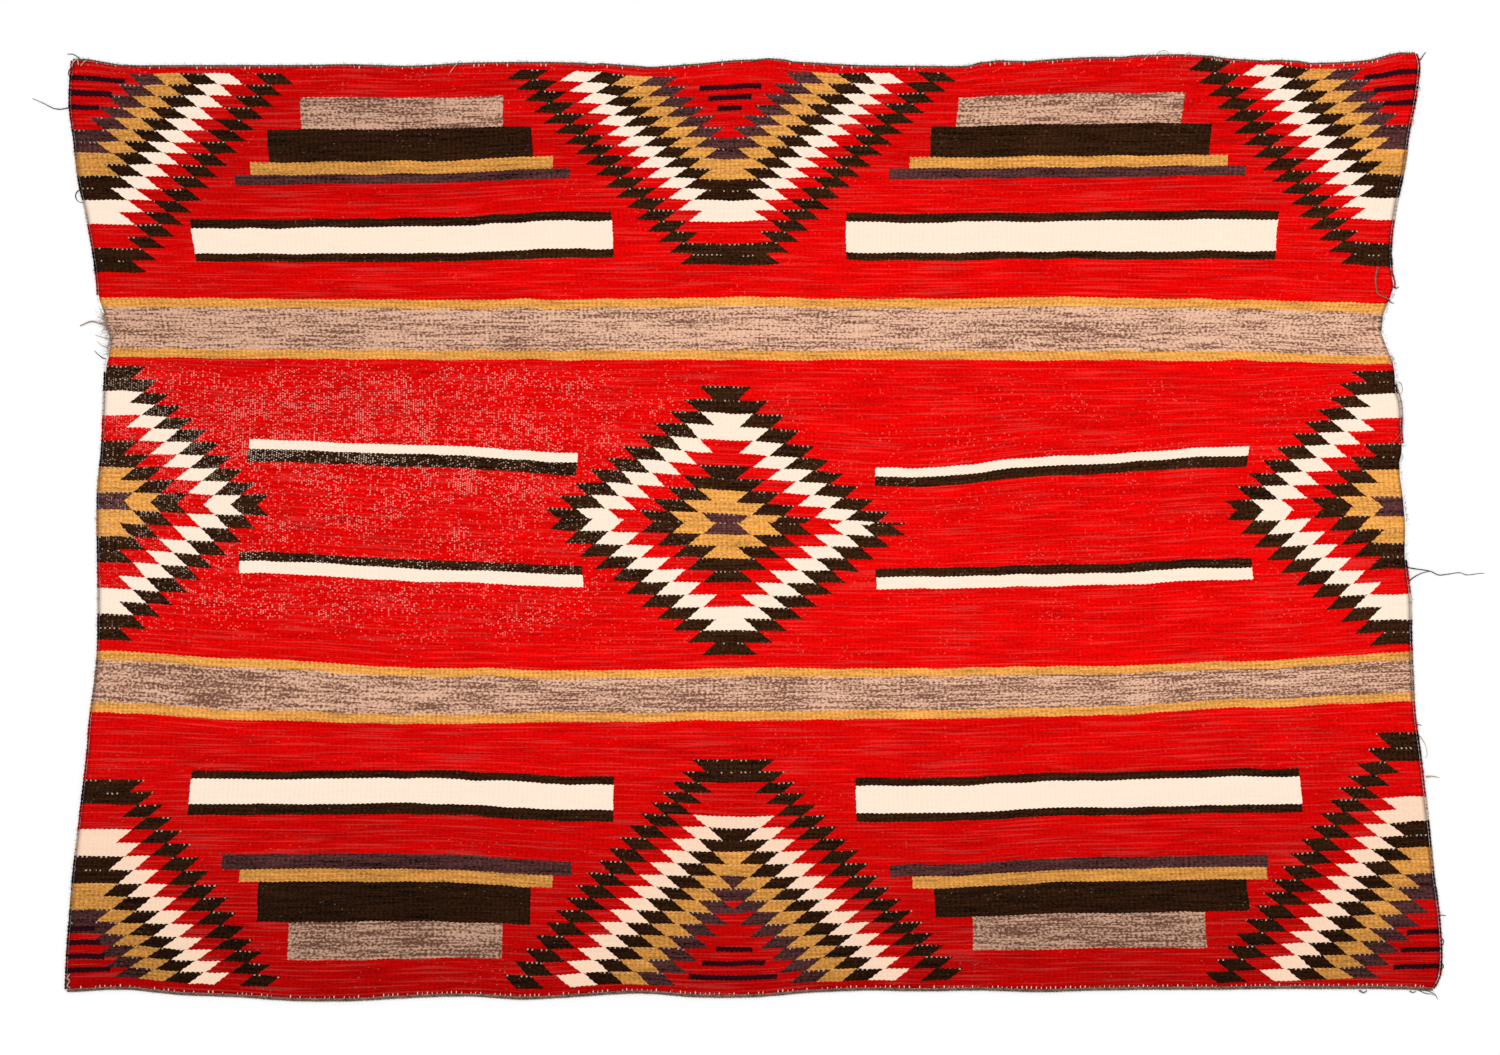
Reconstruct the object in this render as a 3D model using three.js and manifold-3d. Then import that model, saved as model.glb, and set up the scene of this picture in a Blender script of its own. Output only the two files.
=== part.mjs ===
// A handwoven wool rug with serrated diamonds, lying flat on its underside.
// Millimetres, +X along the weft towards the right edge, +Y along the warp towards the top edge, +Z up.
// The origin is in the middle of the underside.

import * as THREE from 'three';
import { mergeVertices } from 'three/addons/utils/BufferGeometryUtils.js';
import Module from 'manifold-3d';

const wasm = await Module();
wasm.setup();

// Driving dimensions
const CLOTH_THICKNESS = 3;
const CLOTH_SWELL = 0.4; // how far the beaten weft rises and falls over the cloth
const SWELL_LENGTH_X = 310;
const SWELL_LENGTH_Y = 190;
const STEPS = 48; // mesh steps along each edge of the cloth
const END_CORD = 4;
const SIDE_CORD = 3.4;
const CORD_SIDES = 8;
const STRAND = 1.8;
const STRAND_SIDES = 4;
const CLEARANCE = 0.3;
const FRAY_STRIP = 2;

const ROWS = 24; // sections in each of the two tables below

// A row for each section across the rug, from its left edge to its right: where the two woven ends lie
const ENDS = [
  { bottom: -613, top: 617 },
  { bottom: -610, top: 612 },
  { bottom: -617, top: 612 },
  { bottom: -620, top: 612 },
  { bottom: -625, top: 612 },
  { bottom: -625, top: 613 },
  { bottom: -621, top: 611 },
  { bottom: -619, top: 615 },
  { bottom: -623, top: 616 },
  { bottom: -619, top: 615 },
  { bottom: -615, top: 609 },
  { bottom: -620, top: 613 },
  { bottom: -620, top: 619 },
  { bottom: -614, top: 616 },
  { bottom: -611, top: 612 },
  { bottom: -612, top: 611 },
  { bottom: -611, top: 611 },
  { bottom: -613, top: 617 },
  { bottom: -611, top: 622 },
  { bottom: -610, top: 623 },
  { bottom: -610, top: 623 },
  { bottom: -609, top: 619 },
  { bottom: -609, top: 615 },
  { bottom: -609, top: 618 },
  { bottom: -611, top: 629 },
];

// A row for each section along the rug, from its bottom end to its top: where the two sides lie
const SIDES = [
  { left: -912, right: 911 },
  { left: -910, right: 912 },
  { left: -906, right: 908 },
  { left: -902, right: 901 },
  { left: -896, right: 896 },
  { left: -890, right: 890 },
  { left: -884, right: 884 },
  { left: -880, right: 877 },
  { left: -873, right: 874 },
  { left: -869, right: 872 },
  { left: -869, right: 871 },
  { left: -869, right: 865 },
  { left: -870, right: 865 },
  { left: -869, right: 856 },
  { left: -864, right: 858 },
  { left: -862, right: 858 },
  { left: -860, right: 847 },
  { left: -857, right: 829 },
  { left: -868, right: 846 },
  { left: -875, right: 845 },
  { left: -884, right: 851 },
  { left: -895, right: 862 },
  { left: -901, right: 869 },
  { left: -907, right: 879 },
  { left: -904, right: 884 },
];

// Where each length of side cord starts and ends, in mesh steps from the bottom end
const CORD_RUNS = {
  leftLower: { from: 0, to: 32 },
  leftFray: { from: 33, to: 35 },
  leftUpper: { from: 36, to: STEPS },
  rightLower: { from: 0, to: 22 },
  rightMiddle: { from: 28, to: 31 },
  rightUpper: { from: 36, to: STEPS },
};

// Loose yarn ends, each a list of x and y from inside its cord to its tip
const LEFT_UPPER_STRANDS = [
  [[-909, 558], [-920, 556], [-930, 557], [-942, 563], [-958, 570]],
  [[-906, 613], [-908, 619], [-911, 623], [-917, 625]],
  [[-893, 449], [-898, 447], [-901, 441], [-898, 434], [-890, 431]],
];
const LEFT_FRAY_STRANDS = [
  [[-859.9, 269], [-868, 271], [-880, 274], [-895, 268]],
  [[-859, 251], [-866, 253], [-875, 256]],
  [[-859, 239], [-866, 242], [-872, 247]],
];
const LEFT_LOWER_STRANDS = [
  [[-862, 207], [-866, 214], [-871, 221], [-876, 229]],
];
const RIGHT_UPPER_STRANDS = [
  [[885.5, 621], [889, 626], [893, 632]],
  [[848.5, 321], [853, 318], [858, 320]],
];
const RIGHT_LOWER_STRANDS = [
  [[867.5, -53], [880, -55], [899, -58], [910, -63], [922, -62], [938, -60], [948, -63], [964, -61], [971, -61]],
  [[870, -73], [876, -67], [887, -61], [899, -58]],
  [[880, -263], [884, -262], [888, -263]],
  [[890, -333], [902, -333], [911, -334]],
  [[911, -515], [915, -515], [920, -516]],
];
const BOTTOM_CORD_STRANDS = [
  [[903, -613.3], [912, -617], [919, -622]],
];

// Finishes
const WOOL = {
  red: { color: '#d40d0a', roughness: 0.92, metalness: 0 },
  greyCord: { color: '#5b544c', roughness: 0.9, metalness: 0 },
  darkCord: { color: '#3a302b', roughness: 0.9, metalness: 0 },
  fray: { color: '#a08778', roughness: 0.95, metalness: 0 },
};

const rug = new THREE.Group();

// A smooth curve through one column of a table, read at a share from 0 to 1 of the table's length
function smoothColumn(table, column, share) {
  const place = share * ROWS;
  const row = Math.min(Math.floor(place), ROWS - 1);
  const before = table[Math.max(row - 1, 0)][column];
  const start = table[row][column];
  const end = table[row + 1][column];
  const after = table[Math.min(row + 2, ROWS)][column];
  const f = place - row;
  const leaving = (end - before) / 2;
  const arriving = (after - start) / 2;
  const bend = f * f * (3 - 2 * f);
  const early = f * (1 - f) * (1 - f);
  const late = f * f * (1 - f);
  return start + (end - start) * bend + leaving * early - arriving * late;
}

// Where a point of the straight loom frame lies on the floor: across and along run from 0 to 1
function clothPoint(across, along) {
  const left = smoothColumn(SIDES, 'left', along);
  const right = smoothColumn(SIDES, 'right', along);
  const bottom = smoothColumn(ENDS, 'bottom', across);
  const top = smoothColumn(ENDS, 'top', across);
  return new THREE.Vector2(
    THREE.MathUtils.lerp(left, right, across),
    THREE.MathUtils.lerp(bottom, top, along),
  );
}

// Height of the upper face, which rises and falls softly
function clothHeight(point) {
  const wave = Math.sin(point.x / SWELL_LENGTH_X * 2 * Math.PI) * Math.cos(point.y / SWELL_LENGTH_Y * 2 * Math.PI);
  return CLOTH_THICKNESS + CLOTH_SWELL * wave;
}

// The four edges as lines of points, each from low to high share
function edgeLine(side) {
  const place = {
    bottom: (share) => clothPoint(share, 0),
    top: (share) => clothPoint(share, 1),
    left: (share) => clothPoint(0, share),
    right: (share) => clothPoint(1, share),
  }[side];
  return Array.from({ length: STEPS + 1 }, (_, i) => place(i / STEPS));
}

// The cloth: a soft upper face on a grid, walls round its edge and one flat underside
function makeCloth() {
  const positions = [];
  const faces = [];
  const columns = STEPS + 1;
  for (let j = 0; j <= STEPS; j += 1) {
    for (let i = 0; i <= STEPS; i += 1) {
      const point = clothPoint(i / STEPS, j / STEPS);
      positions.push(point.x, point.y, clothHeight(point));
    }
  }
  for (let j = 0; j < STEPS; j += 1) {
    for (let i = 0; i < STEPS; i += 1) {
      const corner = j * columns + i;
      faces.push(corner, corner + 1, corner + columns + 1);
      faces.push(corner, corner + columns + 1, corner + columns);
    }
  }
  const rim = [];
  for (let i = 0; i < STEPS; i += 1) rim.push(i);
  for (let j = 0; j < STEPS; j += 1) rim.push(j * columns + STEPS);
  for (let i = STEPS; i > 0; i -= 1) rim.push(STEPS * columns + i);
  for (let j = STEPS; j > 0; j -= 1) rim.push(j * columns);
  const firstFoot = positions.length / 3;
  const footprint = rim.map((index) => new THREE.Vector2(positions[3 * index], positions[3 * index + 1]));
  footprint.forEach((point) => positions.push(point.x, point.y, 0));
  rim.forEach((head, k) => {
    const next = (k + 1) % rim.length;
    faces.push(head, firstFoot + k, firstFoot + next);
    faces.push(head, firstFoot + next, rim[next]);
  });
  THREE.ShapeUtils.triangulateShape(footprint, []).forEach(([a, b, c]) => {
    faces.push(firstFoot + a, firstFoot + c, firstFoot + b);
  });
  const geometry = new THREE.BufferGeometry();
  geometry.setAttribute('position', new THREE.Float32BufferAttribute(positions, 3));
  geometry.setIndex(faces);
  geometry.computeVertexNormals();
  return geometry;
}

// A line moved sideways by a distance that is kept along every stretch of it; left of its direction is positive
function offsetLine(line, distance) {
  return line.map((point, i) => {
    const before = line[Math.max(i - 1, 0)];
    const after = line[Math.min(i + 1, line.length - 1)];
    const arriving = (i > 0 ? point.clone().sub(before) : after.clone().sub(point)).normalize();
    const leaving = (i < line.length - 1 ? after.clone().sub(point) : arriving.clone()).normalize();
    const mean = arriving.clone().add(leaving).normalize();
    const reach = distance / mean.dot(leaving);
    return new THREE.Vector2(point.x - mean.y * reach, point.y + mean.x * reach);
  });
}

// A path that passes through given points with straight stretches, one for each mesh step
class StepPath extends THREE.Curve {
  constructor(points) {
    super();
    this.points = points;
  }

  getPoint(share, target = new THREE.Vector3()) {
    const place = share * (this.points.length - 1);
    const index = Math.min(Math.floor(place), this.points.length - 2);
    return target.lerpVectors(this.points[index], this.points[index + 1], place - index);
  }

  getUtoTmapping(share) {
    return share;
  }
}

// A regular section whose flat sides lie at the given size, so that a cord rests on a face
function flatSidedSection(size, sides) {
  const radius = size / 2 / Math.cos(Math.PI / sides);
  const corners = Array.from({ length: sides }, (_, k) => {
    const angle = (k + 0.5) / sides * 2 * Math.PI;
    return new THREE.Vector2(radius * Math.cos(angle), radius * Math.sin(angle));
  });
  return new THREE.Shape(corners);
}

// A cord or strand that lies on the floor along a line
function lyingTube(line, size, sides) {
  const points = line.map((point) => new THREE.Vector3(point.x, point.y, size / 2));
  return new THREE.ExtrudeGeometry(flatSidedSection(size, sides), {
    steps: line.length - 1,
    extrudePath: new StepPath(points),
  });
}

// Loose yarn: a smooth line through its few points
function strandTube(points) {
  const spine = new THREE.SplineCurve(points.map(([x, y]) => new THREE.Vector2(x, y)));
  return lyingTube(spine.getSpacedPoints((points.length - 1) * 2), STRAND, STRAND_SIDES);
}

// Three.js geometry as a closed solid, and back
function toSolid(geometry) {
  const bare = geometry.clone();
  bare.deleteAttribute('normal');
  bare.deleteAttribute('uv');
  const merged = mergeVertices(bare);
  const source = new wasm.Mesh({
    numProp: 3,
    vertProperties: new Float32Array(merged.attributes.position.array),
    triVerts: new Uint32Array(merged.index.array),
  });
  return new wasm.Manifold(source);
}

function toGeometry(solid) {
  const mesh = solid.getMesh();
  const geometry = new THREE.BufferGeometry();
  geometry.setAttribute('position', new THREE.Float32BufferAttribute(mesh.vertProperties, 3));
  geometry.setIndex(Array.from(mesh.triVerts));
  geometry.computeVertexNormals();
  return geometry;
}

// A cord or strip with its loose strands spun into it as one solid
function joinStrands(backing, strands) {
  const whole = strands.reduce((solid, points) => solid.add(toSolid(strandTube(points))), toSolid(backing));
  return toGeometry(whole);
}

// The line of a cord of a given size beside one edge of the cloth, kept clear of it
function besideEdge(side, size, run) {
  const outward = { bottom: -1, top: 1, left: 1, right: -1 }[side];
  const line = offsetLine(edgeLine(side), outward * (CLEARANCE + size / 2));
  return line.slice(run.from, run.to + 1);
}

function addPiece(name, geometry, finish) {
  const piece = new THREE.Mesh(geometry, new THREE.MeshStandardMaterial(finish));
  piece.name = name;
  rug.add(piece);
}

function addEndCords() {
  const whole = { from: 0, to: STEPS };
  const top = lyingTube(besideEdge('top', END_CORD, whole), END_CORD, CORD_SIDES);
  const bottom = lyingTube(besideEdge('bottom', END_CORD, whole), END_CORD, CORD_SIDES);
  addPiece('top_end_cord', top, WOOL.greyCord);
  addPiece('bottom_end_cord', joinStrands(bottom, BOTTOM_CORD_STRANDS), WOOL.greyCord);
}

function addSideCord(name, side, run, strands) {
  const cord = lyingTube(besideEdge(side, SIDE_CORD, run), SIDE_CORD, CORD_SIDES);
  addPiece(name, joinStrands(cord, strands), WOOL.darkCord);
}

function addSideCords() {
  addSideCord('left_side_cord_lower', 'left', CORD_RUNS.leftLower, LEFT_LOWER_STRANDS);
  addSideCord('left_side_cord_upper', 'left', CORD_RUNS.leftUpper, LEFT_UPPER_STRANDS);
  addSideCord('right_side_cord_lower', 'right', CORD_RUNS.rightLower, RIGHT_LOWER_STRANDS);
  addSideCord('right_side_cord_middle', 'right', CORD_RUNS.rightMiddle, []);
  addSideCord('right_side_cord_upper', 'right', CORD_RUNS.rightUpper, RIGHT_UPPER_STRANDS);
}

// The worn stretch without a cord: a thin strip of weft turns that holds the frayed strands
function addFray() {
  const strip = lyingTube(besideEdge('left', FRAY_STRIP, CORD_RUNS.leftFray), FRAY_STRIP, STRAND_SIDES);
  addPiece('left_fray', joinStrands(strip, LEFT_FRAY_STRANDS), WOOL.fray);
}

addPiece('rug_cloth', makeCloth(), WOOL.red);
addEndCords();
addSideCords();
addFray();

export default rug;
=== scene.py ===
"""A worn handwoven wool rug, lying flat: a weft-faced tapestry cloth with its cords and loose yarn.

The cloth is worked out in loom measures. U runs along the weft from the left edge and V along the
warp from the bottom end, both in millimetres on the straight loom, and the woven figures are set
in U and V. The cloth then lies where its uneven edges and its unevenly beaten weft put it.
"""

import math

import bpy
import numpy as np
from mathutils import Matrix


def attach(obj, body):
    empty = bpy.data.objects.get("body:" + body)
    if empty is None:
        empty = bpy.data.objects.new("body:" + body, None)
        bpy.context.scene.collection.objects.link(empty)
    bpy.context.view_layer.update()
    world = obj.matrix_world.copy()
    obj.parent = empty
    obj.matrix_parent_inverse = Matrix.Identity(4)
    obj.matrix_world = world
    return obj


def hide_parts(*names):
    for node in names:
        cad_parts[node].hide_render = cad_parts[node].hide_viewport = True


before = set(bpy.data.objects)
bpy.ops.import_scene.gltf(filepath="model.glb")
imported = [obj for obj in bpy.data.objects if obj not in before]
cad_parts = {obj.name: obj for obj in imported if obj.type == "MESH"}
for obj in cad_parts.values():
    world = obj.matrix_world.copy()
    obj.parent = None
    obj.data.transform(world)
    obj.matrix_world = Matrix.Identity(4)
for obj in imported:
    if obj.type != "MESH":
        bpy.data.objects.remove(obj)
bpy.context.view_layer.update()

bl_info = {
    "name": "Handwoven Wool Rug",
    "version": (1, 0, 0),
    "blender": (4, 5, 0),
    "location": "View3D > Sidebar > Rug",
    "description": "Builds a worn handwoven wool rug with serrated diamonds, its cords and loose yarn",
    "category": "Object",
}

MM = 0.001
BODY = "root"

# Loom measures in millimetres
LOOM_WIDTH = 1775.0
LOOM_LENGTH = 1230.0
LOOM_MIDDLE = 615.0

# A row for each section across the rug, from its left edge to its right: where the woven ends lie
ENDS = np.array([
    (-613, 617), (-610, 612), (-617, 612), (-620, 612), (-625, 612), (-625, 613), (-621, 611),
    (-619, 615), (-623, 616), (-619, 615), (-615, 609), (-620, 613), (-620, 619), (-614, 616),
    (-611, 612), (-612, 611), (-611, 611), (-613, 617), (-611, 622), (-610, 623), (-610, 623),
    (-609, 619), (-609, 615), (-609, 618), (-611, 629),
], dtype=[("bottom", float), ("top", float)])

# A row for each section along the rug, from its bottom end to its top: where the two sides lie
SIDES = np.array([
    (-912, 911), (-910, 912), (-906, 908), (-902, 901), (-896, 896), (-890, 890), (-884, 884),
    (-880, 877), (-873, 874), (-869, 872), (-869, 871), (-869, 865), (-870, 865), (-869, 856),
    (-864, 858), (-862, 858), (-860, 847), (-857, 829), (-868, 846), (-875, 845), (-884, 851),
    (-895, 862), (-901, 869), (-907, 879), (-904, 884),
], dtype=[("left", float), ("right", float)])

# How far the weft of a level was beaten up, at nine even places from the left side to the right
BEAT = np.array([
    (0, (0, 0, 0, 0, 0, 0, 0, 0, 0)),
    (175, (4, 5, 6, -5, -10, -9, 1, 4, 6)),
    (289, (3, 3, 4, -4, -8, -7, 0, 5, 8)),
    (360, (9, -2, -7, -4, -2, 0, 4, 15, 23)),
    (430, (20, 8, -2, -6, -3, -3, -1, 7, 18)),
    (568, (20, 15, 4, -4, -6, -7, -2, 6, 12)),
    (712, (24, 19, 12, 1, -10, -18, -1, 10, 14)),
    (812, (14, 2, 0, -1, -2, -3, -2, -1, 10)),
    (839, (2, 0, -1, -1, -1, -1, -2, -2, -8)),
    (918, (1, 0, -1, -1, 2, -1, 2, -1, -7)),
    (1031, (-5, -7, -5, 4, 4, 2, 4, 7, 5)),
    (1230, (0, 0, 0, 0, 0, 0, 0, 0, 0)),
], dtype=[("level", float), ("lifts", float, 9)])
END_FADE = 160.0  # how far in from an end its waves can still be seen in the weft

# Where a worn edge stands out (or in, below nought) from its smooth line: place along it, then mm
RAGGED = {
    "left": ((784, 0), (832, 0), (844, -4), (868, -4), (880, 0), (904, 1), (916, 2.5), (940, 0)),
    "right": ((0, -9), (8, -4), (16, -1), (28, 0), (603, 0), (627, 0.5), (651, 4), (675, 3), (687, 0),
              (699, 3), (712, 3.5), (736, 0), (772, 0), (784, -3), (796, -2), (808, 1.5), (832, 4),
              (844, 3), (856, 5), (868, 2.5), (880, 4.5), (892, 4), (904, 2), (916, 4.5), (928, 3.5),
              (940, 0), (1214, 0), (1222, -2), (1230, -5)),
    "top": ((0, 3), (20, 4), (40, 2), (60, 0), (685, 0), (698, 2.5), (740, 2.5), (760, 0), (900, 0),
            (915, 2.5), (935, 2.5), (950, 0), (1180, 0), (1196, 4), (1222, 4.5), (1240, 2), (1260, 0),
            (1385, 0), (1400, 2), (1450, 3), (1500, 2), (1520, 0), (1570, 0), (1590, 2.5), (1615, 2.5),
            (1630, 0), (1715, 0), (1735, 2.5), (1750, 3), (1765, 0)),
}
RAG_REACH = 45.0  # how far in from the edge such a place is felt

# The wools by number, as the woven figures name them
RED, BLACK, CREAM, GOLD, GREY, PURPLE, PLUM, TAN = range(8)

# Bars and bands from the bottom end up. A row starts at its level, on the left half and on the
# right half, and reaches up to the next row. On each half its bar runs from one U to another.
BARS = np.array([
    (45, 54, GREY, 283, 560, 1171, 1473),
    (90, 102, BLACK, 241, 597, 1123, 1531),
    (140, 144, GOLD, 216, 624, 1095, 1559),
    (156, 160, PURPLE, 191, 650, 1067, 1562),
    (176, 176, RED, 0, 0, 0, 0),
    (229, 232, BLACK, 140, 702, 1023, 1613),
    (244, 243, CREAM, 140, 702, 1023, 1613),
    (278, 279, BLACK, 140, 702, 1023, 1613),
    (289, 290, RED, 0, 0, 0, 0),
    (361, 361, GOLD, -100, 900, 800, 1900),
    (373, 373, GREY, -100, 900, 800, 1900),
    (420, 420, GOLD, -100, 900, 800, 1900),
    (431, 431, RED, 0, 0, 0, 0),
    (540, 540, CREAM, 191, 657, 1056, 1567),
    (556, 556, BLACK, 191, 657, 1056, 1567),
    (568, 568, RED, 0, 0, 0, 0),
    (684, 686, BLACK, 199, 650, 1060, 1568),
    (700, 700, CREAM, 199, 650, 1060, 1568),
    (712, 712, RED, 0, 0, 0, 0),
    (839, 839, GOLD, -100, 900, 800, 1900),
    (851, 851, GREY, -100, 900, 800, 1900),
    (907, 907, GOLD, -100, 900, 800, 1900),
    (919, 919, RED, 0, 0, 0, 0),
    (971, 969, BLACK, 139, 712, 1030, 1618),
    (983, 979, CREAM, 139, 712, 1030, 1618),
    (1019, 1018, BLACK, 139, 712, 1030, 1618),
    (1031, 1030, RED, 0, 0, 0, 0),
    (1076, 1076, PURPLE, 209, 658, 1086, 1564),
    (1089, 1090, GOLD, 231, 635, 1112, 1538),
    (1105, 1105, BLACK, 257, 609, 1139, 1513),
    (1147, 1148, GREY, 303, 570, 1171, 1471),
], dtype=[("level_left", float), ("level_right", float), ("wool", float), ("left_from", float),
          ("left_to", float), ("right_from", float), ("right_to", float)])
BARS_END = 1188.0  # the upper side of the last bar
HALF_LINE = 872.0  # U between the two halves of the bars

# The serrated figures, from the bottom left one to the top right one in four tiers of three. Each
# grows from its tip in rows of slanted cells, and its stripes follow its outer edge inwards.
# way: 1 where it grows up, -1 down. reach: half width of the first row. growth: what each row adds.
# lean and bow: tilt and sag of its rows in mm per 100 mm. early and sway: rows' unevenness.
# first and stripe: widths of the outer stripe and of the ones inside it.
# late: in how many rows from LATE_ROW on the stripes in the middle start one row late.
# dash: how far from the tip the first of the thin lines lies, then their gap, their half width,
# what each adds to it, and how many more lines follow the first.
FIGURES = np.array([
    (0, 278, -1, 16, 16.5, 79, 13.0, 0.0, 1.4, -0.4, 0.2, 6, 34, 32.4, 0, 199, 17.8, 32, 8, 3),
    (861, 313, -1, 19, 16.0, 55, 13.5, -0.4, -0.4, 0.5, 0.1, 2, 36, 34.0, 1, 254, 18.5, 24, 17, 2),
    (1775, 328, -1, 19, 16.5, 55, 13.8, -2.9, 0.4, 0.3, 0.1, 4, 37, 34.2, 20, 253, 23, 42, 9, 2),
    (0, 446, 1, 11, 17.2, 46, 18.6, 0.3, 1.7, 0.0, 0.0, -1, 37, 37.0, 0, 0, 1, 0, 0, 2),
    (854, 449, 1, 11, 16.4, 38, 20.4, 0.0, 0.0, 0.0, 0.0, 0, 42, 42.0, 0, 0, 1, 0, 0, 2),
    (1775, 442, 1, 11, 17.6, 55, 18.5, 1.6, 1.7, 0.0, 0.0, 4, 38, 40.5, 0, 0, 1, 0, 0, 2),
    (0, 818, -1, 11, 17.7, 55, 17.8, -1.3, 0.5, -0.3, 0.0, -3, 37, 37.0, 0, 0, 1, 0, 0, 2),
    (853, 805, -1, 11, 16.4, 36, 20.8, 1.9, 1.6, 0.0, 0.0, 3, 43, 42.2, 0, 0, 1, 0, 0, 2),
    (1775, 816, -1, 11, 17.2, 58, 18.2, 0.2, 0.6, 0.0, 0.0, 1, 37, 40.5, 0, 0, 1, 0, 0, 2),
    (0, 954, 1, 17, 15.7, 69, 13.9, 0.9, -1.0, -0.4, -0.1, 8, 34, 33.4, 0, 220, 18, 38, 16, 2),
    (870, 960, 1, 18, 14.2, 69, 13.4, -0.2, -2.9, 0.0, 0.0, 3, 37, 34.2, 0, 209, 14.5, 16, 12.5, 2),
    (1775, 964, 1, 17, 15.1, 69, 14.6, 1.0, -1.8, 0.3, 0.2, 4, 37, 35.0, 0, 209, 18, 42, 14, 2),
], dtype=[(name, float) for name in (
    "centre", "tip", "way", "rows", "pitch", "reach", "growth", "lean", "bow", "early", "sway",
    "belly", "first", "stripe", "late", "dash", "dash_gap", "dash_half", "dash_more", "dash_last")])
TIER_LEVELS = (345.0, 629.0, 930.0)  # V between the four tiers
COLUMN_LINES = (430.0, 1330.0)  # U between the three figures of a tier
CELL_SLANT = 19.0  # how far a cell's sides lean over one row
LATE_ROW = 4
DASH_THICKNESS = 7.0
# Wools of the stripes from the outer one in: of the lower figures, the diamonds and the upper ones
STRIPES = (
    BLACK, RED, TAN, BLACK, GOLD, PURPLE, RED,
    BLACK, CREAM, RED, BLACK, GOLD, PURPLE, PURPLE,
    BLACK, RED, CREAM, BLACK, GOLD, PURPLE, RED,
)
STRIPE_COUNT = 7  # stripes of each of these kinds
STRIPE_ROWS = 2  # rows after which the next stripe starts in the middle

# How strongly mottling, bare warps, darkening towards the ends and the left, and the painted shade of the
# ribs show in each wool, in the wools' order
WOOL_LOOKS = (
    (0.48, 1.20, 0.05, 0.60, 0.0, 1.20, 0.60, 0.06),
    (0.45, 0.60, 0.10, 0.40, 0.30, 0.50, 0.30, 0.10),
    (1.0, 1.15, 0.15, 0.8, 0.85, 0.95, 0.8, 0.1),
    (0.05, 0.14, 0.0, 0.10, 0.07, 0.12, 0.05, 0.0),
)

# Relief of the cloth
WARP_PITCH = 3.15
RIDGE_PITCH = 2 * WARP_PITCH  # a ridge for every second warp: single ones are finer than the render
RIDGE_HEIGHT = 0.55
COLUMNS_PER_RIDGE = 3
ROW_PITCH = 12.0
UNDERSIDE_COLUMNS = 65
SWELL = 0.4
SWELL_LENGTH_X = 310.0
SWELL_LENGTH_Y = 190.0
EDGE_ROLL = 3.5  # how far in from the edge the cloth rounds down
EDGE_SHARE = 0.55  # height that is left at the very edge
PICK_PITCH = 2.4  # two picks of weft: single ones are finer than the render
TOOTH = 0.45  # how far a straight line of the weft steps up and down over two warps
DOT_HEIGHT = 1.8
CLEARANCE = 0.3

# Lengths of the side cords, as shares of the side from the bottom end
CORD_RUNS = {
    "left_side_cord_lower": ("left", 0.0, 32 / 48),
    "left_side_cord_upper": ("left", 36 / 48, 1.0),
    "right_side_cord_lower": ("right", 0.0, 22 / 48),
    "right_side_cord_middle": ("right", 28 / 48, 31 / 48),
    "right_side_cord_upper": ("right", 36 / 48, 1.0),
}
FRAY_RUN = ("left", 33 / 48, 35 / 48)

# Loose yarn ends, each a list of x and y from inside its cord to its tip
STRANDS = {
    "left_side_cord_upper": (
        ((-909, 558), (-920, 556), (-930, 557), (-942, 563), (-958, 570)),
        ((-894, 621), (-899, 626), (-905, 629), (-912, 629)),
        ((-906, 612), (-910, 606), (-909, 599), (-905, 594)),
        ((-893, 449), (-898, 447), (-901, 441), (-898, 434), (-890, 431)),
    ),
    "left_fray": (
        ((-859.9, 269), (-868, 271), (-880, 274), (-895, 268)),
        ((-859, 251), (-866, 253), (-875, 256)),
        ((-859, 239), (-866, 242), (-872, 247)),
    ),
    "left_side_cord_lower": (
        ((-861, 224), (-866, 226), (-871, 230), (-876, 235)),
    ),
    "right_side_cord_upper": (
        ((885.5, 621), (889, 626), (893, 632)),
        ((848.5, 321), (853, 318), (858, 320)),
        ((843, 303), (847, 299), (851, 298)),
    ),
    "right_side_cord_lower": (
        ((867.5, -53), (880, -55), (899, -58), (910, -63), (922, -62), (938, -60), (948, -63),
         (964, -61), (971, -61)),
        ((870, -73), (876, -67), (887, -61), (899, -58)),
        ((880, -263), (884, -262), (888, -263)),
        ((911, -515), (915, -515), (920, -516)),
        ((912, -544), (917, -549), (915, -556), (911, -560)),
        ((913, -577), (917, -583), (913, -588)),
    ),
    "bottom_end_cord": (
        ((882, -614), (893, -619), (902, -620), (908, -623)),
        ((884, -614), (896, -616), (905, -620), (909, -627)),
    ),
}

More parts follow.
